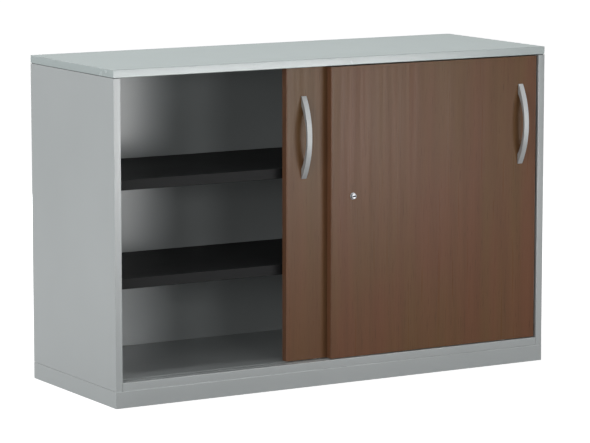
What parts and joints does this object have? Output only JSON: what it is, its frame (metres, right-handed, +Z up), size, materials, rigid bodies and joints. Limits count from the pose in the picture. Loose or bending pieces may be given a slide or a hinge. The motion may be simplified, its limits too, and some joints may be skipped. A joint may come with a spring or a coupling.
{
  "type": "office cupboard",
  "caption": "Low grey steel office cupboard with wood-effect sliding doors, bow handles, a push lock, shelves and a flush plinth",
  "frame": {"origin": "on the floor, at the middle of the bounding box's footprint", "axes": "+X runs along the front from left to right, +Y runs from the front to the back, +Z is up"},
  "size_m": [1.2, 0.4618, 0.79],
  "materials": {
    "carcass_grey": "satin",
    "top_grey": "satin",
    "door_decor": "satin",
    "door_band": "satin",
    "satin_metal": "satin",
    "chrome": "polished",
    "shelf_black": "satin",
    "track_grey": "matte",
    "roller_white": "satin",
    "housing_black": "matte",
    "zinc_steel": "satin",
    "buffer_grey": "matte"
  },
  "bodies": {
    "carcass": {"top_panel": "top_grey", "guide_track": "track_grey", "running_track": "track_grey", "left_side": "carcass_grey", "right_side": "carcass_grey", "bottom_panel": "carcass_grey", "back_panel": "carcass_grey", "plinth_front": "carcass_grey", "plinth_back": "carcass_grey", "plinth_left": "carcass_grey", "plinth_right": "carcass_grey", "lower_shelf": "shelf_black", "upper_shelf": "shelf_black", "lower_clip_left_front": "zinc_steel", "lower_clip_left_rear": "zinc_steel", "lower_clip_right_front": "zinc_steel", "lower_clip_right_rear": "zinc_steel", "upper_clip_left_front": "zinc_steel", "upper_clip_left_rear": "zinc_steel", "upper_clip_right_front": "zinc_steel", "upper_clip_right_rear": "zinc_steel", "door_buffer_left_lower": "buffer_grey", "door_buffer_left_upper": "buffer_grey", "door_buffer_right_lower": "buffer_grey", "door_buffer_right_upper": "buffer_grey", "left_door_end_stop": "housing_black"},
    "left_door": {"left_door_panel": "door_decor", "left_door_band_left": "door_band", "left_door_band_right": "door_band", "left_door_roller_left_housing": "housing_black", "left_door_roller_left_axle": "zinc_steel", "left_door_roller_right_housing": "housing_black", "left_door_roller_right_axle": "zinc_steel", "left_door_guide_left": "housing_black", "left_door_guide_right": "housing_black", "left_handle": "satin_metal", "left_handle_screw_lower": "zinc_steel", "left_handle_screw_upper": "zinc_steel", "lock_strike": "zinc_steel"},
    "right_door": {"right_door_panel": "door_decor", "right_door_band_left": "door_band", "right_door_band_right": "door_band", "right_door_roller_left_housing": "housing_black", "right_door_roller_left_axle": "zinc_steel", "right_door_roller_right_housing": "housing_black", "right_door_roller_right_axle": "zinc_steel", "right_door_guide_left": "housing_black", "right_door_guide_right": "housing_black", "right_handle": "satin_metal", "right_handle_screw_lower": "zinc_steel", "right_handle_screw_upper": "zinc_steel", "lock_barrel": "chrome", "lock_nut": "zinc_steel"},
    "left_door_left_wheel": {"left_door_roller_left_wheel": "roller_white"},
    "left_door_right_wheel": {"left_door_roller_right_wheel": "roller_white"},
    "right_door_left_wheel": {"right_door_roller_left_wheel": "roller_white"},
    "right_door_right_wheel": {"right_door_roller_right_wheel": "roller_white"},
    "plunger": {"lock_plunger": "chrome"},
    "key_plug": {"lock_key_plug": "chrome"}
  },
  "joints": [
    {"name": "left_door_slide", "type": "slide", "parent": "carcass", "child": "left_door", "axis": [1, 0, 0], "range_m": [-0.45, 0]},
    {"name": "right_door_slide", "type": "slide", "parent": "carcass", "child": "right_door", "axis": [1, 0, 0], "range_m": [-0.05, 0]},
    {"name": "left_door_left_wheel_roll", "type": "hinge", "parent": "left_door", "child": "left_door_left_wheel", "pos_m": [-0.0375, -0.1691, 0.0648], "axis": [0, 1, 0], "range_deg": [-2580, 0]},
    {"name": "left_door_right_wheel_roll", "type": "hinge", "parent": "left_door", "child": "left_door_right_wheel", "pos_m": [0.3765, -0.1691, 0.0648], "axis": [0, 1, 0], "range_deg": [-2580, 0]},
    {"name": "right_door_left_wheel_roll", "type": "hinge", "parent": "right_door", "child": "right_door_left_wheel", "pos_m": [0.0735, -0.1916, 0.0648], "axis": [0, 1, 0], "range_deg": [-290, 0]},
    {"name": "right_door_right_wheel_roll", "type": "hinge", "parent": "right_door", "child": "right_door_right_wheel", "pos_m": [0.4875, -0.1916, 0.0648], "axis": [0, 1, 0], "range_deg": [-290, 0]},
    {"name": "lock_push", "type": "slide", "parent": "right_door", "child": "plunger", "axis": [0, 1, 0], "range_m": [0, 0.0045], "stiffness_N_per_m": 300},
    {"name": "key_turn", "type": "hinge", "parent": "plunger", "child": "key_plug", "pos_m": [0.045, -0.2038, 0.454], "axis": [0, 1, 0], "range_deg": [0, 90]}
  ],
  "couplings": [
    {"joint": "left_door_left_wheel_roll", "follows": "left_door_slide", "rad_per_m": 100},
    {"joint": "left_door_right_wheel_roll", "follows": "left_door_slide", "rad_per_m": 100},
    {"joint": "right_door_left_wheel_roll", "follows": "right_door_slide", "rad_per_m": 100},
    {"joint": "right_door_right_wheel_roll", "follows": "right_door_slide", "rad_per_m": 100}
  ]
}
